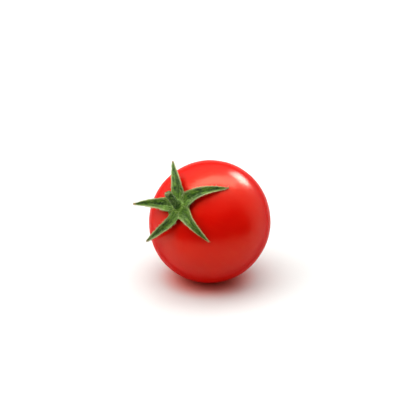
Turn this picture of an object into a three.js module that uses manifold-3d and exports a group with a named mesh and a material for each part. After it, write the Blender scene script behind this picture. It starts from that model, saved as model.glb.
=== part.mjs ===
// A ripe cherry tomato with its green calyx and a stub of stem, lying tilted on
// the shoulder of its fruit. Millimetres, +Z up. The origin is the middle of the
// small flat that the fruit rests on, and -Y is the side that the stem faces.

import * as THREE from 'three';
import { mergeVertices } from 'three/addons/utils/BufferGeometryUtils.js';
import Module from 'manifold-3d';

// The fruit: a slightly flattened ball with a shallow dimple round its stem.
const FRUIT_RADIUS = 18;
const FRUIT_HALF_HEIGHT = 16.9;
const DIMPLE = { depth: 1.3, radius: 3.4 };
const BLOSSOM_SCAR = { depth: 0.35, radius: 1.6 };
const REST_FLAT_RADIUS = 3.5;
const FRUIT_SEGMENTS = 56;
const FRUIT_RINGS = 30;

// The way the stem points: out of the fruit's middle, towards the front left.
const STEM_DIRECTION = new THREE.Vector3(-0.524, -0.653, 0.546).normalize();

// What touches in the real thing keeps this gap here.
const GAP = 0.3;

// The stub of stem and the disc under it, as rings up its length: each ring's
// height over the disc's underside and its radius. Over the disc the rings slide towards
// the fruit's upper side, and past the height of startsAt they tilt that way too.
const DISC_RADIUS = 3.8;
const DISC_UNDERSIDE = FRUIT_HALF_HEIGHT - DIMPLE.depth + GAP;
const DISC_HEIGHT = 0.95;
const DISC_TOP = DISC_UNDERSIDE + DISC_HEIGHT;
const STEM_RINGS = [
  { height: 0, radius: 0.3 },
  { height: 0.6, radius: DISC_RADIUS },
  { height: DISC_HEIGHT, radius: DISC_RADIUS },
  { height: 1.3, radius: 1.9 },
  { height: 2, radius: 1.1 },
  { height: 3.6, radius: 0.85 },
  { height: 5.2, radius: 0.9 },
  { height: 6.1, radius: 1 },
  { height: 6.4, radius: 0.8 },
];
const STEM_LEAN = { sideways: 2.6, power: 1.2 };
const STEM_TILT = { degrees: 42, startsAt: 1.9 };
const STEM_SIDES = 20;

// The sepals. Angles are in degrees about the stem: 0 is the fruit's right and 90 is
// its upper side. A sepal leaves the disc at an angle of base and its tip is at an angle
// of tip, reach from the stem. It is width across at its broadest. Its foot runs straight
// out of the disc, and its middle and its tip stand midRise and tipRise over the disc.
// SEPAL_CHANNEL is how far its edges are folded up, and it gets thinner and flatter by
// SEPAL_SLIMMING towards the tip.
const SEPAL_START = DISC_RADIUS + GAP;
const SEPAL_THICKNESS = 0.6;
const SEPAL_CHANNEL = 0.6;
const SEPAL_SLIMMING = 0.6;
const SEPAL_FOOT = 0.8;
const SEPAL_MIDDLE = 0.55;
const SEPAL_OUTLINE = { widthAtDisc: 0.88, broadestAt: 0.1, taper: 0.92 };
const SEPAL_STEPS = 12;
const SEPAL_SIDES = 12;
const SEPALS = [
  { name: 'sepal_right', base: 26, tip: 20, reach: 14, width: 4.1, midRise: -0.4, tipRise: -5.4 },
  { name: 'sepal_up', base: 88, tip: 102, reach: 15, width: 4.2, midRise: 0.2, tipRise: -1.6 },
  { name: 'sepal_left', base: 162, tip: 169, reach: 14.8, width: 4, midRise: 0.9, tipRise: 1.4 },
  { name: 'sepal_lower_left', base: 237, tip: 209, reach: 15, width: 3.2, midRise: 0.4, tipRise: -3.5 },
  { name: 'sepal_lower_right', base: 312, tip: 306, reach: 12.8, width: 3.9, midRise: 0.1, tipRise: -4 },
];

// Colour, roughness and metalness of each material.
const FRUIT_RED = new THREE.MeshStandardMaterial({ color: 0xc8120a, roughness: 0.25, metalness: 0 });
const STEM_GREEN = new THREE.MeshStandardMaterial({ color: 0x3f6a33, roughness: 0.6, metalness: 0 });
const SEPAL_GREEN = new THREE.MeshStandardMaterial({ color: 0x547d38, roughness: 0.6, metalness: 0 });

const wasm = await Module();
wasm.setup();

// How deep a hollow is at a distance from the stem's axis.
function hollow({ depth, radius }, distance) {
  return depth * Math.exp(-((distance / radius) ** 2));
}

// Turns the stem's own frame, with +Z along the stem, into the part's frame. Its +X is
// the fruit's right as seen from the front, and its +Y is the fruit's upper side.
function stemFrame() {
  const upper = STEM_DIRECTION.clone().cross(new THREE.Vector3(1, 0, 0)).normalize();
  const right = upper.clone().cross(STEM_DIRECTION);
  return new THREE.Matrix4().makeBasis(right, upper, STEM_DIRECTION);
}

// Where the fruit's middle stands, so that its lowest point, cut flat, is the origin.
function fruitMiddle() {
  const along = STEM_DIRECTION.z;
  const across = 1 - along ** 2;
  const drop = Math.sqrt(FRUIT_RADIUS ** 2 * across + FRUIT_HALF_HEIGHT ** 2 * along ** 2);
  const shift = (along * (FRUIT_RADIUS ** 2 - FRUIT_HALF_HEIGHT ** 2)) / drop;
  const flatDepth = REST_FLAT_RADIUS ** 2 / (2 * FRUIT_RADIUS);
  return new THREE.Vector3(-STEM_DIRECTION.x * shift, -STEM_DIRECTION.y * shift, drop - flatDepth);
}

// One closed skin: only positions, with shared corners merged.
function closedSkin(geometry) {
  const skin = geometry.clone();
  skin.deleteAttribute('normal');
  skin.deleteAttribute('uv');
  return mergeVertices(skin, 1e-4);
}

function toSolid(geometry) {
  const skin = closedSkin(geometry);
  return new wasm.Manifold(new wasm.Mesh({
    numProp: 3,
    vertProperties: new Float32Array(skin.attributes.position.array),
    triVerts: new Uint32Array(skin.index.array),
  }));
}

function toGeometry(solid) {
  const mesh = solid.getMesh();
  const geometry = new THREE.BufferGeometry();
  geometry.setAttribute('position', new THREE.BufferAttribute(mesh.vertProperties, 3));
  geometry.setIndex(new THREE.BufferAttribute(mesh.triVerts, 1));
  return geometry;
}

// The fruit turned on its axis, then cut flat where it rests.
function fruitGeometry(placement) {
  const profile = [];
  for (let ring = 0; ring <= FRUIT_RINGS; ring += 1) {
    const angle = (Math.PI * ring) / FRUIT_RINGS;
    const distance = ring % FRUIT_RINGS === 0 ? 0 : FRUIT_RADIUS * Math.sin(angle);
    const dimple = angle > Math.PI / 2 ? hollow(DIMPLE, distance) : 0;
    const scar = angle < Math.PI / 2 ? hollow(BLOSSOM_SCAR, distance) : 0;
    profile.push(new THREE.Vector2(distance, -FRUIT_HALF_HEIGHT * Math.cos(angle) - dimple + scar));
  }
  const turned = new THREE.LatheGeometry(profile, FRUIT_SEGMENTS);
  turned.rotateX(Math.PI / 2);
  turned.applyMatrix4(placement);
  const below = new THREE.BoxGeometry(4 * FRUIT_RADIUS, 4 * FRUIT_RADIUS, 2 * FRUIT_RADIUS);
  below.translate(0, 0, -FRUIT_RADIUS);
  return toGeometry(toSolid(turned).subtract(toSolid(below)));
}

// A solid whose rings follow a route. pointAt(along, turn) gives each corner of the skin:
// along runs from 0 to 1 on the route, and turn goes once round the ring.
function ringedSolid(sides, steps, pointAt) {
  const geometry = closedSkin(new THREE.CylinderGeometry(1, 1, 1, sides, steps));
  const corners = geometry.attributes.position;
  const corner = new THREE.Vector3();
  for (let i = 0; i < corners.count; i += 1) {
    corner.fromBufferAttribute(corners, i);
    const outward = Math.min(1, Math.hypot(corner.x, corner.z));
    const turn = Math.atan2(corner.x, corner.z);
    const moved = pointAt(corner.y + 0.5, turn, outward);
    corners.setXYZ(i, moved.x, moved.y, moved.z);
  }
  return geometry;
}

// How far a height is on its way from a start to a top: 0 up to the start, 1 at the top.
function shareOver(start, top, height) {
  return Math.max(0, (height - start) / (top - start));
}

// The disc and the stub, leaning and tilting towards the fruit's upper side.
function stemGeometry(placement) {
  const last = STEM_RINGS.length - 1;
  const top = STEM_RINGS[last].height;
  const geometry = ringedSolid(STEM_SIDES, last, (along, turn, outward) => {
    const ring = STEM_RINGS[Math.round(along * last)];
    const lean = STEM_LEAN.sideways * shareOver(DISC_HEIGHT, top, ring.height) ** STEM_LEAN.power;
    const tilted = STEM_TILT.degrees * shareOver(STEM_TILT.startsAt, top, ring.height);
    const tilt = THREE.MathUtils.degToRad(tilted);
    const sideways = ring.radius * outward * -Math.cos(turn);
    return new THREE.Vector3(
      ring.radius * outward * Math.sin(turn),
      sideways * Math.cos(tilt) + lean,
      DISC_UNDERSIDE + ring.height - sideways * Math.sin(tilt),
    );
  });
  return geometry.applyMatrix4(placement);
}

// A sepal's middle line: out of the disc, over its rise and down or up to its tip.
function sepalRoute({ base, tip, reach, midRise, tipRise }) {
  const at = (degrees, distance, rise) => {
    const angle = THREE.MathUtils.degToRad(degrees);
    return new THREE.Vector3(distance * Math.cos(angle), distance * Math.sin(angle), DISC_TOP + rise);
  };
  return new THREE.CatmullRomCurve3([
    at(base, SEPAL_START, 0),
    at(base, SEPAL_START + SEPAL_FOOT, 0),
    at((base + tip) / 2, SEPAL_MIDDLE * reach, midRise),
    at(tip, reach, tipRise),
  ]);
}

// How wide a sepal is along its length: broadest near the disc, drawn out to a fine tip.
function sepalWidth(width, along) {
  const { widthAtDisc, broadestAt, taper } = SEPAL_OUTLINE;
  const shoulder = THREE.MathUtils.lerp(widthAtDisc, 1, Math.min(1, along / broadestAt));
  return width * shoulder * (1 - taper * along);
}

// A thin leaf-like solid, lens-shaped across and folded up into a shallow channel.
function sepalGeometry(sepal, placement) {
  const route = sepalRoute(sepal);
  const stemAxis = new THREE.Vector3(0, 0, 1);
  const geometry = ringedSolid(SEPAL_SIDES, SEPAL_STEPS, (along, turn, outward) => {
    const middle = route.getPointAt(along);
    const forward = route.getTangentAt(along);
    const across = stemAxis.clone().cross(forward).normalize();
    const upward = forward.clone().cross(across);
    const halfWidth = sepalWidth(sepal.width, along) / 2;
    const side = outward * Math.cos(turn);
    const slimming = 1 - SEPAL_SLIMMING * along;
    const lift = SEPAL_CHANNEL * slimming * side ** 2
      + (SEPAL_THICKNESS / 2) * slimming * outward * Math.sin(turn);
    return middle.addScaledVector(across, halfWidth * side).addScaledVector(upward, lift);
  });
  return geometry.applyMatrix4(placement);
}

function named(name, geometry, material) {
  const mesh = new THREE.Mesh(geometry, material);
  mesh.name = name;
  return mesh;
}

const placement = new THREE.Matrix4().setPosition(fruitMiddle()).multiply(stemFrame());
const tomato = new THREE.Group();
tomato.add(named('fruit', fruitGeometry(placement), FRUIT_RED));
tomato.add(named('stem', stemGeometry(placement), STEM_GREEN));
for (const sepal of SEPALS) {
  tomato.add(named(sepal.name, sepalGeometry(sepal, placement), SEPAL_GREEN));
}

export default tomato;
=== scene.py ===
"""A ripe cherry tomato with its green calyx and a stub of stem, on a pale floor."""

import math

import bmesh
import bpy
from mathutils import Matrix, Vector


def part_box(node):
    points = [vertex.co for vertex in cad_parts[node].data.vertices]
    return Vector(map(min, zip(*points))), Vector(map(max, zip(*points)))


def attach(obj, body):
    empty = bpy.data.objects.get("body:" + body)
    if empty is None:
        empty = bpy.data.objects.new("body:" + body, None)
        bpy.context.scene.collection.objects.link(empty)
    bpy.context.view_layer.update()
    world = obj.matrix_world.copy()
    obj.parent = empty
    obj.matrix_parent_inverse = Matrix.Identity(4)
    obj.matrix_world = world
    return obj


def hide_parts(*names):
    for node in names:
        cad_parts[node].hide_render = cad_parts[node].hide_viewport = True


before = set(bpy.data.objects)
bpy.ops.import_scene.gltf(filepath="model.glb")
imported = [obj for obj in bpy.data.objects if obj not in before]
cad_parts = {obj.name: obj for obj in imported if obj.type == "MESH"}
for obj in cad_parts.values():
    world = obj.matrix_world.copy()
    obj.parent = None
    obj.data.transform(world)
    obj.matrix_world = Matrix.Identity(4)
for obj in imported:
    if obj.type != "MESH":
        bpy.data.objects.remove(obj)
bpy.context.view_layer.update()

MM = 0.001
# How near a corner has to be to a place to count as there, and the decimals of a metre
# that tell one place from the next.
NEAR = 0.001 * MM
DECIMALS = 7

# The fruit: its size, the hollow round its stem and the five swells of its shoulder.
FRUIT_RADIUS = 18 * MM
FRUIT_HALF_HEIGHT = 16.9 * MM
FRUIT_SEGMENTS = 160
FRUIT_RINGS = 96
DIMPLE_DEPTH = 1.35 * MM
DIMPLE_REACH = 6.6 * MM
SHOULDER_SWELLS = 5
SHOULDER_SWELL = 0.16 * MM
SHOULDER_ANGLE = math.radians(38)
SHOULDER_REACH = 6.5 * MM
SWELL_CREST = 0.6 * MM
FIRST_SWELL = math.radians(52)
BLOSSOM_HOLLOW = 0.4 * MM
BLOSSOM_REACH = 3.4 * MM
SCAR_RADIUS = 0.8 * MM
# The rings of the blossom scar: how far each is set in, and how far it rises.
SCAR_RINGS = ((0.12 * MM, -0.07 * MM), (0.16 * MM, 0.09 * MM), (0.14 * MM, 0.05 * MM))
SMOOTH_UNDER = math.radians(40)

# The way the stem points: out of the fruit's middle, to the front left and upwards.
STEM_DIRECTION = Vector((-0.524, -0.653, 0.546)).normalized()

# The disc that the sepals grow from, over the fruit's middle along the stem.
DISC_UNDERSIDE = 15.9 * MM
DISC_TOP = 16.85 * MM

# The disc and the stub as rings: height over the disc's underside, and radius, both in
# millimetres.
STEM_RINGS = (
    (0.00, 0.80), (0.22, 2.30), (0.48, 3.45), (0.62, 3.75), (0.74, 3.60), (0.86, 2.70),
    (1.02, 2.05), (1.25, 1.62), (1.65, 1.26), (2.30, 1.00), (3.20, 0.86), (4.10, 0.83),
    (4.90, 0.87), (5.50, 0.96), (5.95, 1.00), (6.25, 0.94), (6.45, 0.72),
)
STEM_SIDES = 30
STEM_RIB_EVERY = 5
STEM_RIB = 1.05
STEM_LEAN = 2.6 * MM
STEM_LEAN_POWER = 1.5
STUB_FOOT = 1.2 * MM
STUB_CORE = 0.6 * MM
STUB_TILT = math.radians(42)
STUB_TURNS_FROM = 0.3
# The rings of the cut end: how far each is set in, and how far it rises.
STUB_END_RINGS = ((0.16 * MM, 0.02 * MM), (0.14 * MM, -0.10 * MM), (0.18 * MM, -0.03 * MM))

# The sepals, in degrees and millimetres. Angles are about the stem: 0 is the fruit's
# right and 90 is its upper side. foot and tip are where a sepal starts and ends, reach is
# how far its tip is from the stem, rises are the heights of its middle and tip over the
# disc's top, and roll turns its face at its neck, middle and tip.
SEPALS = (
    dict(name="sepal_right", foot=26, tip=20, reach=14.0, width=4.5,
         rises=(-0.5, -5.5), roll=(0, 4, 14)),
    dict(name="sepal_up", foot=88, tip=102, reach=15.0, width=4.5,
         rises=(0.2, -1.6), roll=(0, 4, 0)),
    dict(name="sepal_left", foot=162, tip=169, reach=14.8, width=4.3,
         rises=(0.9, 1.4), roll=(0, -8, -12)),
    dict(name="sepal_lower_left", foot=245, tip=209, reach=15.0, width=3.5,
         rises=(0.4, -3.5), roll=(0, -10, -16)),
    dict(name="sepal_lower_right", foot=312, tip=306, reach=12.8, width=4.3,
         rises=(0.1, -4.0), roll=(0, 8, 16)),
)
SEPAL_FOOT_RADIUS = 1.3 * MM
SEPAL_FOOT_RISE = 0.05 * MM
SEPAL_NECK_RADIUS = 4.0 * MM
SEPAL_NECK_RISE = 0.10 * MM
SEPAL_MIDDLE = 0.58
ROUTE_STEPS = 24
SEPAL_COLUMNS = 28
SEPAL_ROWS = 12
SEPAL_LENGTH = 14 * MM
SEPAL_WIDTH = 4.4 * MM
SEPAL_THICKNESS = 0.42 * MM
SEPAL_EDGE_THICKNESS = 0.25
SEPAL_FOLD = 1.15 * MM
SEPAL_FOLD_POWER = 1.25
SEPAL_GROOVE = 0.16 * MM
SEPAL_GROOVE_WIDTH = 0.25
SEPAL_FOOT_FOLD = 0.1
SEPAL_FOLD_OPENS = 3
# How wide a sepal is along its length, as shares of its length and of its width.
SEPAL_OUTLINE = (
    (0.00, 0.64), (0.09, 0.94), (0.17, 0.96), (0.28, 0.80), (0.42, 0.63),
    (0.58, 0.48), (0.74, 0.32), (0.87, 0.18), (0.95, 0.085), (1.00, 0.03),
)

# The soft unevenness of each skin: the size of its lumps, and how far they stand.
FRUIT_LUMPS = (9 * MM, 0.16 * MM)
STEM_LUMPS = (0.9 * MM, 0.10 * MM)
SEPAL_LUMPS = (0.8 * MM, 0.16 * MM)
MARGIN_LUMPS = (0.45 * MM, 0.30 * MM)
LUMP_DEPTH = 2

# The fine pale hairs: how long and how thick, how deep their feet are in the skin as a
# share of that length, how they vary, and how many there are to a square millimetre.
HAIR_LENGTH = 0.5 * MM
HAIR_RADIUS = 0.024 * MM
HAIR_SIDES = 3
HAIR_ROOT = 0.05
HAIR_LENGTHS = (0.45, 1.25)
HAIR_LEAN = 0.6
SEPAL_HAIRS = 6
MARGIN_HAIRS = 22
STEM_HAIRS = 9
STEM_SEED = 7
SEPAL_SEEDS = (20, 30, 40, 50, 60)


# --- Workbench ---------------------------------------------------------------------


def put_down():
    """Leaves edit mode and deselects everything."""
    if bpy.context.mode != "OBJECT":
        bpy.ops.object.mode_set(mode="OBJECT")
    bpy.ops.object.select_all(action="DESELECT")


def take_up(piece):
    """Makes the piece the only selected one."""
    put_down()
    piece.select_set(True)
    bpy.context.view_layer.objects.active = piece


def open_up(piece):
    """Takes the piece up in edit mode, with nothing on it selected."""
    take_up(piece)
    bpy.ops.object.mode_set(mode="EDIT")
    bpy.ops.mesh.select_mode(type="VERT")
    bpy.ops.mesh.select_all(action="DESELECT")


def pick(piece, wanted):
    """Selects the corners whose place is wanted, with the edges and faces between them."""
    shape = bmesh.from_edit_mesh(piece.data)
    for corner in shape.verts:
        corner.select = bool(wanted(corner.co))
    shape.select_flush_mode()
    bmesh.update_edit_mesh(piece.data)


def middle_of(element):
    """The middle of a corner, an edge or a face, rounded."""
    corners = [element] if isinstance(element, bmesh.types.BMVert) else element.verts
    middle = sum((corner.co for corner in corners), Vector()) / len(corners)
    return tuple(round(part, DECIMALS) for part in middle)


def put_in_order(piece):
    """Numbers the piece's corners, edges and faces by their places. The tools that shape a
    piece number them differently from run to run, and hairs are scattered by number."""
    open_up(piece)
    shape = bmesh.from_edit_mesh(piece.data)
    for elements in (shape.verts, shape.edges, shape.faces):
        numbers = {each: number for number, each in enumerate(sorted(elements, key=middle_of))}
        elements.sort(key=numbers.get)
    bmesh.update_edit_mesh(piece.data)


def new_piece(name):
    """Names the primitive that was just added, and stands it at the origin."""
    piece = bpy.context.object
    piece.name = piece.data.name = name
    bpy.ops.object.transform_apply(location=True, rotation=True, scale=True)
    return piece


def apply_modifier(piece, kind, **settings):
    """Puts a modifier on the piece and applies it."""
    modifier = piece.modifiers.new(kind.title(), kind)
    for setting, value in settings.items():
        setattr(modifier, setting, value)
    take_up(piece)
    bpy.ops.object.modifier_apply(modifier=modifier.name)


def roughen(piece, size, strength, group=""):
    """Moves the skin in and out by a soft random pattern."""
    lumps = bpy.data.textures.new(piece.name + "_lumps", "CLOUDS")
    lumps.noise_scale = size
    lumps.noise_depth = LUMP_DEPTH
    apply_modifier(piece, "DISPLACE", texture=lumps, texture_coords="LOCAL",
                   strength=strength, mid_level=0.5, vertex_group=group)


def copy_of(piece, name):
    """A copy of the piece with a mesh of its own."""
    twin = piece.copy()
    twin.data = piece.data.copy()
    twin.name = twin.data.name = name
    bpy.context.collection.objects.link(twin)
    return twin


def throw_away(*pieces):
    """Removes pieces that were only tools."""
    for piece in pieces:
        bpy.data.objects.remove(piece)


def along_points(points, place):
    """The value at a place on a broken line of (place, value) points."""
    for (start, low), (end, high) in zip(points, points[1:]):
        if place <= end:
            share = (place - start) / (end - start)
            return low + (high - low) * share
    return points[-1][1]


def fruit_stand():
    """The turn and move that take a piece modelled upright, with +Z along the stem and
    the fruit's middle at the origin, to its place in the frame."""
    upper = STEM_DIRECTION.cross(Vector((1, 0, 0))).normalized()
    right = upper.cross(STEM_DIRECTION)
    along = STEM_DIRECTION.z
    drop = math.hypot(FRUIT_RADIUS * math.sqrt(1 - along**2), FRUIT_HALF_HEIGHT * along)
    low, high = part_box("fruit")
    middle = Vector(((low[0] + high[0]) / 2, (low[1] + high[1]) / 2, high[2] - drop))
    turn = Matrix((right, upper, STEM_DIRECTION)).transposed().to_4x4()
    return Matrix.Translation(middle) @ turn


STAND = fruit_stand()


def lay_in_place(piece):
    """Tips an upright piece over to where it belongs, with its place in its mesh."""
    take_up(piece)
    piece.matrix_world = STAND
    bpy.ops.object.transform_apply(location=True, rotation=True, scale=True)


# --- Finishes ----------------------------------------------------------------------


class Finish:
    """A material while it is put together. Each method adds a node and gives its output."""

    def __init__(self, name):
        self.material = bpy.data.materials.new(name)
        self.material.use_nodes = True
        self.nodes = self.material.node_tree.nodes
        self.links = self.material.node_tree.links
        self.shader = self.nodes["Principled BSDF"]

    def add(self, kind, inputs, output=0, **settings):
        node = self.nodes.new(kind)
        for setting, value in settings.items():
            setattr(node, setting, value)
        for socket, value in inputs.items():
            self.plug(node.inputs[socket], value)
        return node.outputs[output]

    def plug(self, socket, value):
        if isinstance(value, bpy.types.NodeSocket):
            self.links.new(value, socket)
        else:
            socket.default_value = value

    def set(self, **sockets):
        """Sets or links the shader's own sockets, named with _ for a space."""
        for name, value in sockets.items():
            self.plug(self.shader.inputs[name.replace("_", " ")], value)

    def upright_millimetres(self):
        """Places on the piece in millimetres, with +Z along the stem."""
        place = self.add("ShaderNodeTexCoord", {}, output="Object")
        return self.add("ShaderNodeMapping", {
            "Vector": place,
            "Location": STAND.translation,
            "Rotation": STAND.to_euler(),
            "Scale": (MM, MM, MM),
        }, vector_type="TEXTURE")

    def math(self, operation, first, second=0.0):
        return self.add("ShaderNodeMath", {0: first, 1: second}, operation=operation)

    def plus(self, first, second):
        return self.math("ADD", first, second)

    def times(self, first, second):
        return self.math("MULTIPLY", first, second)

    def length(self, vector):
        return self.add("ShaderNodeVectorMath", {0: vector}, "Value", operation="LENGTH")

    def split(self, vector):
        node = self.nodes.new("ShaderNodeSeparateXYZ")
        self.plug(node.inputs[0], vector)
        return node.outputs

    def join(self, x, y, z):
        return self.add("ShaderNodeCombineXYZ", {0: x, 1: y, 2: z})

    def noise(self, vector, scale, detail=2.0, roughness=0.5):
        return self.add("ShaderNodeTexNoise", {
            "Vector": vector, "Scale": scale, "Detail": detail, "Roughness": roughness,
        })

    def cells(self, vector, scale):
        return self.add("ShaderNodeTexVoronoi", {"Vector": vector, "Scale": scale})

    def fade(self, value, start, end, low=0.0, high=1.0):
        """Goes smoothly from low to high as value goes from start to end."""
        return self.add("ShaderNodeMapRange", {
            "Value": value, "From Min": start, "From Max": end, "To Min": low, "To Max": high,
        }, interpolation_type="SMOOTHSTEP")

    def mix(self, share, first, second):
        return self.add("ShaderNodeMix", {0: share, 6: first, 7: second}, output=2,
                        data_type="RGBA")

    def bump(self, height, depth, strength, normal=None):
        inputs = {"Height": height, "Distance": depth, "Strength": strength}
        if normal is not None:
            inputs["Normal"] = normal
        return self.add("ShaderNodeBump", inputs)


# In the finishes below, places are in millimetres, and a pattern's scale is in repeats to
# a millimetre, if nothing else is said. A fade is where it starts and where it ends, and
# its values there, if they aren't 0 and 1. The values of most are how much of the next
# colour is laid on.

RIPE_RED = (0.80, 0.0110, 0.0010, 1)
DEEP_RED = (0.77, 0.0075, 0.0008, 1)
FLECK_RED = (0.86, 0.040, 0.009, 1)
CORK = (0.16, 0.075, 0.028, 1)
SHOULDER_RED = (0.80, 0.025, 0.0034, 1)
BLOTCH_SCALE = 0.11
BLOTCH_FADE = (0.32, 0.68)
# Streaks run from pole to pole: their scale is on a circle of radius 1 about the stem, and
# nearer than STREAK_CORE to the stem they run out.
STREAK_SCALE = 9
STREAK_STRETCH = 0.03
STREAK_CORE = 0.4
STREAK_FADE = (0.45, 0.75, 0, 0.30)
SHOULDER_FADE = (9, 3, 0, 0.45)
SHOULDER_HEIGHT_FADE = (8, 13)
FLECK_SCALE = 1.3
FLECK_FADE = (0.26, 0.04)
FLECKED_SCALE = 0.2
FLECKED_FADE = (0.36, 0.72, 0.02, 0.12)
SCAR_RAGGED = 0.9
SCAR_FADE = (1.35, 1.0)
SCAR_HEIGHT_FADE = (-14, -15.5)
SCAR_ROUGHNESS = 0.75
SHEEN_SCALE = 0.5
SKIN_ROUGHNESS_FADE = (0.35, 0.7, 0.24, 0.268)
WAVE_SCALE = 0.35
WAVE_DEPTH = 0.12 * MM
PORE_SCALE = 2.6
PORE_DEPTH = 0.006 * MM
# The gloss lessens from where the skin faces the eye (0) to where it is seen edge on (1),
# as it does among other red fruit, which are mirrored there.
GLOSS_FADE = (0.36, 0.68, 0.65, 0.025)
GLOSS_TINT = (1.0, 0.93, 0.66, 1)
FLESH_GLOW = dict(Subsurface_Weight=0.35, Subsurface_Radius=(1.0, 0.18, 0.08),
                  Subsurface_Scale=2.2 * MM)


def tomato_skin():
    """Glossy ripe skin: deep soft reds, fine pale flecks, faint streaks from stem to
    blossom end, and the corky dot of the blossom scar."""
    finish = Finish("ripe_tomato_skin")
    place = finish.upright_millimetres()
    x, y, z = finish.split(place)
    radius = finish.length(finish.join(x, y, 0.0))
    out = finish.math("MAXIMUM", radius, STREAK_CORE)
    around = finish.join(finish.math("DIVIDE", x, out), finish.math("DIVIDE", y, out),
                         finish.times(z, STREAK_STRETCH))
    blotches = finish.noise(place, BLOTCH_SCALE, detail=3)
    red = finish.mix(finish.fade(blotches, *BLOTCH_FADE), DEEP_RED, RIPE_RED)
    streaks = finish.noise(around, STREAK_SCALE, detail=4, roughness=0.6)
    red = finish.mix(finish.fade(streaks, *STREAK_FADE), red, SHOULDER_RED)
    shoulder = finish.times(finish.fade(radius, *SHOULDER_FADE),
                            finish.fade(z, *SHOULDER_HEIGHT_FADE))
    red = finish.mix(shoulder, red, SHOULDER_RED)
    flecks = finish.times(finish.fade(finish.cells(place, FLECK_SCALE), *FLECK_FADE),
                          finish.fade(finish.noise(place, FLECKED_SCALE), *FLECKED_FADE))
    red = finish.mix(flecks, red, FLECK_RED)
    ragged = finish.times(finish.noise(place, PORE_SCALE, detail=4), SCAR_RAGGED)
    scar = finish.times(finish.fade(finish.plus(radius, ragged), *SCAR_FADE),
                        finish.fade(z, *SCAR_HEIGHT_FADE))
    red = finish.mix(scar, red, CORK)
    sheen = finish.noise(place, SHEEN_SCALE, detail=4)
    roughness = finish.math("MAXIMUM", finish.fade(sheen, *SKIN_ROUGHNESS_FADE),
                            finish.times(scar, SCAR_ROUGHNESS))
    normal = finish.bump(finish.noise(place, WAVE_SCALE), WAVE_DEPTH, strength=0.35)
    normal = finish.bump(finish.noise(place, PORE_SCALE), PORE_DEPTH, strength=0.2,
                         normal=normal)
    edge = finish.add("ShaderNodeLayerWeight", {"Blend": 0.5}, output="Facing")
    finish.set(Base_Color=red, Roughness=roughness, Normal=normal, IOR=1.5,
               Specular_IOR_Level=finish.fade(edge, *GLOSS_FADE),
               Specular_Tint=GLOSS_TINT, **FLESH_GLOW)
    return finish.material


LEAF_GREEN = (0.128, 0.250, 0.026, 1)
LEAF_DARK = (0.011, 0.046, 0.027, 1)
LEAF_LIGHT = (0.350, 0.500, 0.130, 1)
MARGIN_PALE = (0.60, 0.62, 0.34, 1)
DRY_TIP = (0.56, 0.36, 0.20, 1)
# Painted shade: darker green laid along the midrib groove, where shade falls.
GROOVE_SHADE_GREEN = (0.035, 0.085, 0.020, 1)
# Patterns on a sepal: repeats along it, repeats across it, and how they drift apart from
# one sepal to the next. Fades along it go from 0 at its foot to 1 at its tip, and fades
# across it from 0 at its groove to 1 at its edges.
MOTTLE_PATTERN = (6.0, 3.4, 0.2)
MOTTLE_FADE = (0.42, 0.57, 0.15, 1)
FOOT_FADE = (0.36, 0.10, 0, 0.45)
GRAIN_PATTERN = (19.0, 14.0, 0.3)
GRAIN_LIGHT_FADE = (0.47, 0.68, 0, 0.75)
GRAIN_DARK_FADE = (0.46, 0.32, 0, 0.6)
GRAIN_HEIGHT = 0.7
VEIN_PATTERN = (2.2, 17.0, 0.0)
VEIN_FADE = (0.50, 0.70, 0, 0.35)
# The painted shade in the groove, strongest at the groove itself.
GROOVE_SHADE_FADE = (0.12, 0.0, 0, 0.7)
MARGIN_FADE = (0.74, 1.02)
MARGIN_ALONG_FADE = (0.10, 0.55, 0.25, 0.9)
DRY_FADE = (0.95, 1.03)
# How a fade's edge wavers: the scale of it and how much.
MARGIN_RAGGED = (2.2, 0.16)
DRY_RAGGED = (1.8, 0.10)
LEAF_ROUGHNESS_FADE = (0.3, 0.7, 0.62, 0.48)
GREEN_BUMP = dict(depth=0.12 * MM, strength=0.8)
DOWNY = dict(Specular_IOR_Level=0.3, Sheen_Weight=0.2, Sheen_Roughness=0.4,
             Sheen_Tint=(0.9, 1.0, 0.8, 1))
LEAF_GLOW = dict(Subsurface_Weight=0.12, Subsurface_Radius=(0.5, 1.0, 0.2),
                 Subsurface_Scale=0.5 * MM)


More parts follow.
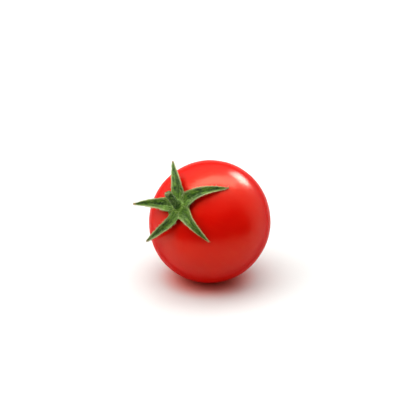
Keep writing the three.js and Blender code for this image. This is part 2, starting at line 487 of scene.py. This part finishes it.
def sepal_leaf():
    """Matt downy green, mottled, with painted shade along its groove, pale margins and a dried
    tip.
    Its UV map runs along the sepal and across it."""
    finish = Finish("sepal_leaf")
    along, across, _ = finish.split(finish.add("ShaderNodeTexCoord", {}, output="UV"))
    place = finish.upright_millimetres()
    x, y, _ = finish.split(place)
    apart = finish.plus(x, y)

    def pattern(repeats, **settings):
        lengthwise, crosswise, drift = repeats
        spot = finish.join(finish.times(along, lengthwise), finish.times(across, crosswise),
                           finish.times(apart, drift))
        return finish.noise(spot, 1.0, **settings)

    def ragged(value, scale, amount):
        return finish.plus(value, finish.times(finish.noise(place, scale, detail=3), amount))

    side = finish.math("ABSOLUTE", finish.math("SUBTRACT", finish.times(across, 2.0), 1.0))
    mottle = pattern(MOTTLE_PATTERN, detail=6, roughness=0.66)
    grain = pattern(GRAIN_PATTERN, detail=4, roughness=0.65)
    veins = pattern(VEIN_PATTERN, detail=3)
    margin = finish.times(finish.fade(ragged(side, *MARGIN_RAGGED), *MARGIN_FADE),
                          finish.fade(along, *MARGIN_ALONG_FADE))
    dry = finish.fade(ragged(along, *DRY_RAGGED), *DRY_FADE)
    green = finish.mix(finish.fade(mottle, *MOTTLE_FADE), LEAF_DARK, LEAF_GREEN)
    for share, colour in (
        (finish.fade(along, *FOOT_FADE), LEAF_GREEN),
        (finish.fade(grain, *GRAIN_LIGHT_FADE), LEAF_LIGHT),
        (finish.fade(grain, *GRAIN_DARK_FADE), LEAF_DARK),
        (finish.fade(veins, *VEIN_FADE), LEAF_LIGHT),
        # Painted shade along the midrib groove.
        (finish.fade(side, *GROOVE_SHADE_FADE), GROOVE_SHADE_GREEN),
        (margin, MARGIN_PALE),
        (dry, DRY_TIP),
    ):
        green = finish.mix(share, green, colour)
    height = finish.plus(finish.times(grain, GRAIN_HEIGHT), veins)
    finish.set(Base_Color=green, Roughness=finish.fade(mottle, *LEAF_ROUGHNESS_FADE),
               Normal=finish.bump(height, **GREEN_BUMP), **LEAF_GLOW, **DOWNY)
    return finish.material


STEM_GREEN = (0.085, 0.175, 0.024, 1)
STEM_DARK = (0.030, 0.075, 0.020, 1)
STEM_LIGHT = (0.270, 0.390, 0.110, 1)
CUT_END = (0.30, 0.33, 0.16, 1)
BARK_SCALE = 3.2
BARK_STRETCH = 0.25
BARK_FADE = (0.36, 0.64)
SPOT_SCALE = 2.4
SPOT_FADE = (0.50, 0.66, 0, 0.8)
DISC_SPOT_FADE = (0.40, 0.62)
DISC_FADE = (17.9, 17.2)
CUT_RAGGED = 0.5
CUT_HEIGHT = DISC_UNDERSIDE / MM + STEM_RINGS[-1][0]
CUT_FADE = (CUT_HEIGHT, CUT_HEIGHT + 0.4)
STEM_ROUGHNESS_FADE = (0.3, 0.7, 0.65, 0.5)
STEM_GLOW = dict(Subsurface_Weight=0.1, Subsurface_Radius=(0.5, 1.0, 0.2),
                 Subsurface_Scale=0.6 * MM)


def stem_bark():
    """Dark ribbed green, streaked along the stub, with light flecks and a pale end, and
    leaf green on the disc."""
    finish = Finish("stem_green")
    place = finish.upright_millimetres()
    x, y, z = finish.split(place)
    lengthwise = finish.join(x, y, finish.times(z, BARK_STRETCH))
    streaks = finish.noise(lengthwise, BARK_SCALE, detail=4, roughness=0.6)
    spots = finish.noise(place, SPOT_SCALE, detail=4, roughness=0.6)
    green = finish.mix(finish.fade(streaks, *BARK_FADE), STEM_DARK, STEM_GREEN)
    green = finish.mix(finish.fade(spots, *SPOT_FADE), green, STEM_LIGHT)
    disc = finish.mix(finish.fade(spots, *DISC_SPOT_FADE), LEAF_GREEN, LEAF_LIGHT)
    green = finish.mix(finish.fade(z, *DISC_FADE), green, disc)
    ragged = finish.plus(z, finish.times(spots, CUT_RAGGED))
    green = finish.mix(finish.fade(ragged, *CUT_FADE), green, CUT_END)
    finish.set(Base_Color=green, Roughness=finish.fade(spots, *STEM_ROUGHNESS_FADE),
               Normal=finish.bump(finish.plus(streaks, spots), **GREEN_BUMP),
               **STEM_GLOW, **DOWNY)
    return finish.material


HAIR_PALE = (0.66, 0.70, 0.48, 1)
HAIR_GREEN = (0.36, 0.46, 0.20, 1)
HAIR_SCALE = 1.1
HAIR_FADE = (0.38, 0.62)
HAIR_GLOW = dict(Subsurface_Weight=0.2, Subsurface_Radius=(1.0, 1.0, 0.6),
                 Subsurface_Scale=0.2 * MM)


def pale_hairs():
    """Fine downy hairs, from pale green to almost white."""
    finish = Finish("pale_hairs")
    shade = finish.noise(finish.upright_millimetres(), HAIR_SCALE)
    hair = finish.mix(finish.fade(shade, *HAIR_FADE), HAIR_GREEN, HAIR_PALE)
    finish.set(Base_Color=hair, Roughness=0.55, **HAIR_GLOW)
    return finish.material


FLOOR_DIM = (0.835, 0.870, 0.855, 1)
FLOOR_WHITE = (0.865, 0.900, 0.885, 1)
# Painted red shadow under the fruit, where it meets the floor: the red light and shade of red
# fruit, painted on.
FLOOR_PAINTED_RED_SHADOW = (1.0, 0.40, 0.32, 1)
FLOOR_BOUNCE = (0.57, 0.56, 0.55, 1)
# The floor's pattern is in repeats to a metre, and its fades are in metres from the origin.
FLOOR_TONE_SCALE = 3.0
# Where the painted red shadow lies: full within 5 mm of the middle, gone by 16 mm.
PAINTED_SHADOW_FADE = (16 * MM, 5 * MM)
FLOOR_FADE = (70 * MM, 190 * MM, 1, 0)


def floor_paper():
    """Plain white floor with a faint gloss, which fades into the white all round it. It has
    a painted red shadow under the fruit, for the red light and shade of more red fruit
    about, and throws back less light than its white would, as it does with more red fruit
    about."""
    finish = Finish("white_floor")
    place = finish.add("ShaderNodeTexCoord", {}, output="Object")
    away = finish.length(place)
    tone = finish.mix(finish.noise(place, FLOOR_TONE_SCALE), FLOOR_DIM, FLOOR_WHITE)
    # Lays the painted red shadow on the floor under the fruit.
    tone = finish.mix(finish.fade(away, *PAINTED_SHADOW_FADE), tone, FLOOR_PAINTED_RED_SHADOW)
    thrown_back = finish.add("ShaderNodeLightPath", {}, output="Is Diffuse Ray")
    tone = finish.mix(thrown_back, tone, FLOOR_BOUNCE)
    finish.set(Base_Color=tone, Roughness=0.45, Specular_IOR_Level=0.3,
               Alpha=finish.fade(away, *FLOOR_FADE))
    return finish.material


# --- The fruit ---------------------------------------------------------------------


def push(piece, wanted, move, reach):
    """Moves the wanted corners, and draws what is within reach along with them."""
    pick(piece, wanted)
    bpy.ops.transform.translate(value=move, use_proportional_edit=True,
                                proportional_edit_falloff="SMOOTH", proportional_size=reach)


def inset_rings(rings):
    """Sets the selected faces in, ring by ring, each a little higher or lower."""
    for inset, rise in rings:
        bpy.ops.mesh.inset(thickness=inset)
        bpy.ops.transform.translate(value=(0, 0, rise))


def model_fruit():
    """A dense ball pressed a little flat, hollowed at the stem, swollen at the shoulder,
    drawn in at the blossom end, and cut flat where it rests."""
    put_down()
    bpy.ops.mesh.primitive_uv_sphere_add(
        segments=FRUIT_SEGMENTS, ring_count=FRUIT_RINGS, radius=FRUIT_RADIUS)
    fruit = new_piece("tomato_fruit")
    open_up(fruit)
    bpy.ops.mesh.select_all(action="SELECT")
    bpy.ops.transform.resize(value=(1, 1, FRUIT_HALF_HEIGHT / FRUIT_RADIUS))
    top = FRUIT_HALF_HEIGHT - NEAR
    push(fruit, lambda place: place.z > top, (0, 0, -DIMPLE_DEPTH), DIMPLE_REACH)
    push(fruit, lambda place: place.z < -top, (0, 0, BLOSSOM_HOLLOW), BLOSSOM_REACH)
    swell_shoulder(fruit)
    model_blossom_scar(fruit)
    put_in_order(fruit)
    roughen(fruit, *FRUIT_LUMPS)
    lay_in_place(fruit)
    open_up(fruit)
    bpy.ops.mesh.select_all(action="SELECT")
    bpy.ops.mesh.bisect(plane_co=(0, 0, 0), plane_no=(0, 0, 1), threshold=NEAR,
                        use_fill=True, clear_inner=True)
    put_in_order(fruit)
    take_up(fruit)
    bpy.ops.object.shade_smooth_by_angle(angle=SMOOTH_UNDER)
    return fruit


def swell_shoulder(fruit):
    """Pushes the shoulder out a little in places, evenly spaced round the stem."""
    for swell in range(SHOULDER_SWELLS):
        around = FIRST_SWELL + math.tau * swell / SHOULDER_SWELLS
        out = Vector((math.sin(SHOULDER_ANGLE) * math.cos(around),
                      math.sin(SHOULDER_ANGLE) * math.sin(around), math.cos(SHOULDER_ANGLE)))
        crest = Vector((out.x * FRUIT_RADIUS, out.y * FRUIT_RADIUS, out.z * FRUIT_HALF_HEIGHT))
        push(fruit, lambda place: (place - crest).length < SWELL_CREST,
             out * SHOULDER_SWELL, SHOULDER_REACH)


def model_blossom_scar(fruit):
    """A small corky dot at the bottom, ringed and slightly proud."""
    pick(fruit, lambda place: place.z < 0 and math.hypot(place.x, place.y) < SCAR_RADIUS)
    inset_rings(SCAR_RINGS)
    put_down()


# --- The stem ----------------------------------------------------------------------


def model_stem():
    """The disc and the ribbed stub, drawn up ring by ring, with a soft rim and a shallow
    pith at the cut end, then leant over."""
    put_down()
    first_height, first_radius = STEM_RINGS[0]
    bpy.ops.mesh.primitive_circle_add(
        vertices=STEM_SIDES, radius=first_radius * MM, fill_type="NGON",
        location=(0, 0, DISC_UNDERSIDE + first_height * MM))
    stem = new_piece("stem_and_disc")
    open_up(stem)
    bpy.ops.mesh.select_all(action="SELECT")
    for (height, radius), (next_height, next_radius) in zip(STEM_RINGS, STEM_RINGS[1:]):
        grow = next_radius / radius
        bpy.ops.mesh.extrude_region_move(
            TRANSFORM_OT_translate={"value": (0, 0, (next_height - height) * MM)})
        bpy.ops.transform.resize(value=(grow, grow, 1), center_override=(0, 0, 0))
    inset_rings(STUB_END_RINGS)
    put_in_order(stem)
    rib_stub(stem)
    lean_stub(stem)
    bpy.ops.mesh.select_all(action="SELECT")
    bpy.ops.mesh.normals_make_consistent(inside=False)
    apply_modifier(stem, "SUBSURF", levels=2, render_levels=2)
    roughen(stem, *STEM_LUMPS)
    put_in_order(stem)
    take_up(stem)
    bpy.ops.object.shade_smooth()
    return stem


def rib_stub(stem):
    """Pushes every fifth line of the stub outwards."""
    step = math.tau / STEM_SIDES

    def on_rib(place):
        line = round(math.atan2(place.y, place.x) / step)
        on_stub = place.z > DISC_UNDERSIDE + STUB_FOOT
        outside = math.hypot(place.x, place.y) > STUB_CORE
        return on_stub and outside and line % STEM_RIB_EVERY == 0

    pick(stem, on_rib)
    bpy.ops.transform.resize(value=(STEM_RIB, STEM_RIB, 1), center_override=(0, 0, 0))


def lean_stub(stem):
    """Slides and turns each ring towards the upper side, more and more towards the end."""
    shape = bmesh.from_edit_mesh(stem.data)
    heights = sorted({round(corner.co.z, DECIMALS) for corner in shape.verts}, reverse=True)
    top = STEM_RINGS[-1][0] * MM
    for height in heights:
        share = min(1.0, max(0.0, height - DISC_UNDERSIDE) / top)
        pick(stem, lambda place: abs(place.z - height) < NEAR)
        turn = STUB_TILT * max(0.0, (share - STUB_TURNS_FROM) / (1 - STUB_TURNS_FROM))
        bpy.ops.transform.rotate(value=turn, orient_axis="X", center_override=(0, 0, height))
        bpy.ops.transform.translate(value=(0, STEM_LEAN * share**STEM_LEAN_POWER, 0))


# --- The sepals --------------------------------------------------------------------


def model_sepal_blank():
    """One flat blade, folded along its midrib and drawn in to its outline."""
    put_down()
    bpy.ops.mesh.primitive_grid_add(
        x_subdivisions=SEPAL_COLUMNS, y_subdivisions=SEPAL_ROWS, size=1, calc_uvs=True)
    blank = new_piece("sepal_blank")
    open_up(blank)
    bpy.ops.mesh.select_all(action="SELECT")
    bpy.ops.transform.resize(value=(SEPAL_LENGTH, SEPAL_WIDTH, 1), center_override=(0, 0, 0))
    bpy.ops.transform.translate(value=(SEPAL_LENGTH / 2, 0, 0))
    for row in range(SEPAL_ROWS + 1):
        y = SEPAL_WIDTH * (row / SEPAL_ROWS - 0.5)
        side = abs(2 * y / SEPAL_WIDTH)
        fold = SEPAL_FOLD * side**SEPAL_FOLD_POWER
        fold -= SEPAL_GROOVE * max(0.0, 1 - side / SEPAL_GROOVE_WIDTH)
        pick(blank, lambda place: abs(place.y - y) < NEAR)
        bpy.ops.transform.translate(value=(0, 0, fold))
    for column in range(SEPAL_COLUMNS + 1):
        share = column / SEPAL_COLUMNS
        x = SEPAL_LENGTH * share
        width = along_points(SEPAL_OUTLINE, share)
        folded = min(1.0, SEPAL_FOOT_FOLD + SEPAL_FOLD_OPENS * share)
        pick(blank, lambda place: abs(place.x - x) < NEAR)
        bpy.ops.transform.resize(value=(1, width, width * folded), center_override=(x, 0, 0))
    put_down()
    weigh_rows(blank)
    return blank


def weigh_rows(blank):
    """Two groups of corners: flesh is full along the midrib and least at the edges, and
    margin is full at the edges and none over the inner two thirds."""
    flesh = blank.vertex_groups.new(name="flesh")
    margin = blank.vertex_groups.new(name="margin")
    rows = SEPAL_ROWS + 1
    columns = SEPAL_COLUMNS + 1
    for corner in blank.data.vertices:
        side = abs(2 * (corner.index // columns) / (rows - 1) - 1)
        flesh.add([corner.index], 1 - (1 - SEPAL_EDGE_THICKNESS) * side**2, "REPLACE")
        margin.add([corner.index], max(0.0, 3 * side - 2), "REPLACE")


def sepal_route(sepal):
    """The line that a sepal follows, out of the disc and over the fruit's shoulder."""
    def at(degrees, radius, rise):
        around = math.radians(degrees)
        return Vector((radius * math.cos(around), radius * math.sin(around), DISC_TOP + rise))

    reach = sepal["reach"] * MM
    middle_rise, tip_rise = (rise * MM for rise in sepal["rises"])
    halfway = (sepal["foot"] + sepal["tip"]) / 2
    places = (
        at(sepal["foot"], SEPAL_FOOT_RADIUS, SEPAL_FOOT_RISE),
        at(sepal["foot"], SEPAL_NECK_RADIUS, SEPAL_NECK_RISE),
        at(halfway, SEPAL_MIDDLE * reach, middle_rise),
        at(sepal["tip"], reach, tip_rise),
    )
    put_down()
    bpy.ops.curve.primitive_bezier_curve_add()
    route = bpy.context.object
    route.data.twist_mode = "Z_UP"
    route.data.resolution_u = ROUTE_STEPS
    points = route.data.splines[0].bezier_points
    points.add(len(places) - len(points))
    rolls = (0, *sepal["roll"])
    for point, place, roll in zip(points, places, rolls):
        point.co = place
        point.handle_left_type = point.handle_right_type = "AUTO"
        point.tilt = math.radians(roll)
    bpy.context.view_layer.update()
    return route


def model_sepal(blank, sepal):
    """A copy of the blank, cut to size, thickened, roughened and bent along its route."""
    piece = copy_of(blank, sepal["name"] + "_leaf")
    route = sepal_route(sepal)
    length = route.data.splines[0].calc_length()
    open_up(piece)
    bpy.ops.mesh.select_all(action="SELECT")
    size = (length / SEPAL_LENGTH, sepal["width"] * MM / SEPAL_WIDTH, 1)
    bpy.ops.transform.resize(value=size, center_override=(0, 0, 0))
    apply_modifier(piece, "SOLIDIFY", thickness=SEPAL_THICKNESS, offset=-1,
                   vertex_group="flesh", thickness_vertex_group=SEPAL_EDGE_THICKNESS)
    apply_modifier(piece, "SUBSURF", levels=2, render_levels=2)
    apply_modifier(piece, "CURVE", object=route, deform_axis="POS_X")
    roughen(piece, *SEPAL_LUMPS)
    roughen(piece, *MARGIN_LUMPS, "margin")
    throw_away(route)
    take_up(piece)
    bpy.ops.object.shade_smooth()
    return piece


# --- The hairs ---------------------------------------------------------------------


def model_hair():
    """One hair: a long thin spike, standing at the origin."""
    put_down()
    bpy.ops.mesh.primitive_cone_add(
        vertices=HAIR_SIDES, radius1=HAIR_RADIUS, radius2=0, depth=HAIR_LENGTH,
        location=(0, 0, (0.5 - HAIR_ROOT) * HAIR_LENGTH))
    return new_piece("hair")


def hair_scatter(hair, density, margin_density, seed):
    """Nodes that stand copies of the hair on a piece's skin, more of them at its margin."""
    tree = bpy.data.node_groups.new("hair_scatter", "GeometryNodeTree")
    for flow in ("INPUT", "OUTPUT"):
        tree.interface.new_socket("Geometry", in_out=flow, socket_type="NodeSocketGeometry")
    start = tree.nodes.new("NodeGroupInput")
    end = tree.nodes.new("NodeGroupOutput")
    scatter = tree.nodes.new("GeometryNodeDistributePointsOnFaces")
    margin = tree.nodes.new("GeometryNodeInputNamedAttribute")
    amount = tree.nodes.new("ShaderNodeMath")
    source = tree.nodes.new("GeometryNodeObjectInfo")
    stand = tree.nodes.new("GeometryNodeInstanceOnPoints")
    lengths = tree.nodes.new("FunctionNodeRandomValue")
    leans = tree.nodes.new("FunctionNodeRandomValue")
    lean = tree.nodes.new("FunctionNodeRotateRotation")
    real = tree.nodes.new("GeometryNodeRealizeInstances")
    margin.inputs["Name"].default_value = "margin"
    amount.operation = "MULTIPLY_ADD"
    amount.inputs[1].default_value = margin_density / MM**2
    amount.inputs[2].default_value = density / MM**2
    scatter.inputs["Seed"].default_value = seed
    source.inputs["Object"].default_value = hair
    lengths.data_type = "FLOAT"
    lengths.inputs[2].default_value, lengths.inputs[3].default_value = HAIR_LENGTHS
    lengths.inputs["Seed"].default_value = seed + 1
    leans.data_type = "FLOAT_VECTOR"
    leans.inputs[0].default_value = (-HAIR_LEAN, -HAIR_LEAN, 0)
    leans.inputs[1].default_value = (HAIR_LEAN, HAIR_LEAN, 0)
    leans.inputs["Seed"].default_value = seed + 2
    lean.rotation_space = "LOCAL"
    link = tree.links.new
    link(start.outputs[0], scatter.inputs["Mesh"])
    link(margin.outputs["Attribute"], amount.inputs[0])
    link(amount.outputs[0], scatter.inputs["Density"])
    link(scatter.outputs["Points"], stand.inputs["Points"])
    link(source.outputs["Geometry"], stand.inputs["Instance"])
    link(scatter.outputs["Rotation"], lean.inputs["Rotation"])
    link(leans.outputs[0], lean.inputs["Rotate By"])
    link(lean.outputs[0], stand.inputs["Rotation"])
    link(lengths.outputs[1], stand.inputs["Scale"])
    link(stand.outputs[0], real.inputs[0])
    link(real.outputs[0], end.inputs[0])
    return tree


def grow_hairs(piece, hair, density, margin_density, seed):
    """The hairs of a piece, as a piece of their own."""
    hairs = copy_of(piece, piece.name + "_hairs")
    apply_modifier(hairs, "NODES", node_group=hair_scatter(hair, density, margin_density, seed))
    return hairs


# --- Putting the tomato together ---------------------------------------------------


def give(piece, material):
    """Gives a piece its finish and its body."""
    piece.data.materials.clear()
    piece.data.materials.append(material)
    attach(piece, "root")


def make_tomato():
    """The fruit, the stem and the sepals, each of the green ones with its hairs."""
    skin, leaf, bark, down = tomato_skin(), sepal_leaf(), stem_bark(), pale_hairs()
    hair = model_hair()
    fruit = model_fruit()
    give(fruit, skin)
    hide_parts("fruit")
    stem = model_stem()
    stem_hairs = grow_hairs(stem, hair, STEM_HAIRS, 0, STEM_SEED)
    for piece, finish in ((stem, bark), (stem_hairs, down)):
        lay_in_place(piece)
        give(piece, finish)
    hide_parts("stem")
    blank = model_sepal_blank()
    for sepal, seed in zip(SEPALS, SEPAL_SEEDS):
        piece = model_sepal(blank, sepal)
        hairs = grow_hairs(piece, hair, SEPAL_HAIRS, MARGIN_HAIRS, seed)
        for part, finish in ((piece, leaf), (hairs, down)):
            lay_in_place(part)
            give(part, finish)
        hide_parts(sepal["name"])
    throw_away(blank, hair)


# --- The studio --------------------------------------------------------------------

MIDDLE = STAND.translation
CAMERA_ELEVATION = math.radians(22)
CAMERA_DISTANCE = 262.8 * MM
CAMERA_LENS = 81
CAMERA_NEAREST = 10 * MM
CAMERA_AIM_RIGHT = -2.77 * MM
CAMERA_AIM_UP = 6.27 * MM
FLOOR_SIZE = 8
# The white surroundings: their colour, how bright they are as light, and how bright as
# mirrored, which goes from dark at the front to light at the back.
WORLD_WHITE = (1, 1, 0.99, 1)
WORLD_LIGHT = 0.38
WORLD_MIRRORED = (-0.45, 0.0, 0.0, 0.72)
# Soft lights: the name of each, the way to it from the fruit's middle, how far it is and
# its size, both in metres, and how it glows. The lamps light the tomato, and the cards are
# only mirrored in it.
LAMPS = (
    ("wide_lamp", (0, -0.05, 1), 0.50, (0.80, 0.66), 1.05),
    ("main_lamp", (0, 0.29, 0.957), 0.51, (0.47, 0.26), 0.45),
    ("left_lamp", (-1, -0.1, 0.8), 0.55, (0.50, 0.40), 1.10),
)
CARDS = (
    ("wide_card", (0, -0.05, 1), 0.50, (0.80, 0.66), 1.5),
    ("bright_card", (-0.05, 0.17, 0.98), 0.51, (0.80, 0.21), 3.0),
    ("corner_card", (0.53, 0.647, 0.547), 0.55, (0.21, 0.18), 9.5),
)


def make_floor():
    """The pale floor, which belongs to the stage."""
    put_down()
    bpy.ops.mesh.primitive_plane_add(size=FLOOR_SIZE)
    floor = new_piece("floor")
    floor.data.materials.append(floor_paper())


def make_light(name, direction, distance, size, glow, mirrored):
    """A soft rectangle of light that faces the fruit's middle. glow is its brightness
    against the white of the background. It either lights the tomato or is mirrored in it."""
    put_down()
    towards = Vector(direction).normalized()
    bpy.ops.object.light_add(type="AREA", location=MIDDLE + towards * distance)
    light = bpy.context.object
    light.name = name
    light.data.shape = "RECTANGLE"
    light.data.size, light.data.size_y = size
    light.data.energy = glow * math.pi * size[0] * size[1]
    light.rotation_euler = towards.to_track_quat("Z", "Y").to_euler()
    light.visible_camera = False
    light.visible_glossy = mirrored
    light.visible_diffuse = not mirrored


def make_world():
    """White all round, dimmer as light than as background. Mirrored in the skin, it is
    white at the back and dark at the front."""
    world = bpy.data.worlds.new("white_studio")
    bpy.context.scene.world = world
    world.use_nodes = True
    nodes, links = world.node_tree.nodes, world.node_tree.links
    white = nodes["Background"]
    white.inputs["Color"].default_value = WORLD_WHITE
    path = nodes.new("ShaderNodeLightPath")
    around = nodes.new("ShaderNodeTexCoord")
    split = nodes.new("ShaderNodeSeparateXYZ")
    mirrored = nodes.new("ShaderNodeMapRange")
    mirrored.interpolation_type = "SMOOTHSTEP"
    for socket, value in zip(("From Min", "From Max", "To Min", "To Max"), WORLD_MIRRORED):
        mirrored.inputs[socket].default_value = value
    either = nodes.new("ShaderNodeMix")
    either.inputs["A"].default_value = WORLD_LIGHT
    seen = nodes.new("ShaderNodeMix")
    seen.inputs["B"].default_value = 1.0
    links.new(around.outputs["Generated"], split.inputs[0])
    links.new(split.outputs["Y"], mirrored.inputs["Value"])
    links.new(path.outputs["Is Glossy Ray"], either.inputs["Factor"])
    links.new(mirrored.outputs[0], either.inputs["B"])
    links.new(path.outputs["Is Camera Ray"], seen.inputs["Factor"])
    links.new(either.outputs[0], seen.inputs["A"])
    links.new(seen.outputs[0], white.inputs["Strength"])


def make_camera():
    """Looks down at the tomato, which stands a little right of and under the middle."""
    right = Vector((1, 0, 0))
    back = Vector((0, -math.cos(CAMERA_ELEVATION), math.sin(CAMERA_ELEVATION)))
    up = back.cross(right)
    aim = MIDDLE + right * CAMERA_AIM_RIGHT + up * CAMERA_AIM_UP
    put_down()
    bpy.ops.object.camera_add(location=aim + back * CAMERA_DISTANCE)
    camera = bpy.context.object
    camera.data.lens = CAMERA_LENS
    camera.data.clip_start = CAMERA_NEAREST
    camera.rotation_euler = back.to_track_quat("Z", "Y").to_euler()
    bpy.context.scene.camera = camera


def make_studio():
    """Floor, surroundings, lights, camera, and steep tones."""
    make_floor()
    make_world()
    for lamp in LAMPS:
        make_light(*lamp, mirrored=False)
    for card in CARDS:
        make_light(*card, mirrored=True)
    make_camera()
    bpy.context.scene.view_settings.view_transform = "Standard"
    bpy.context.scene.view_settings.look = "High Contrast"


make_tomato()
make_studio()
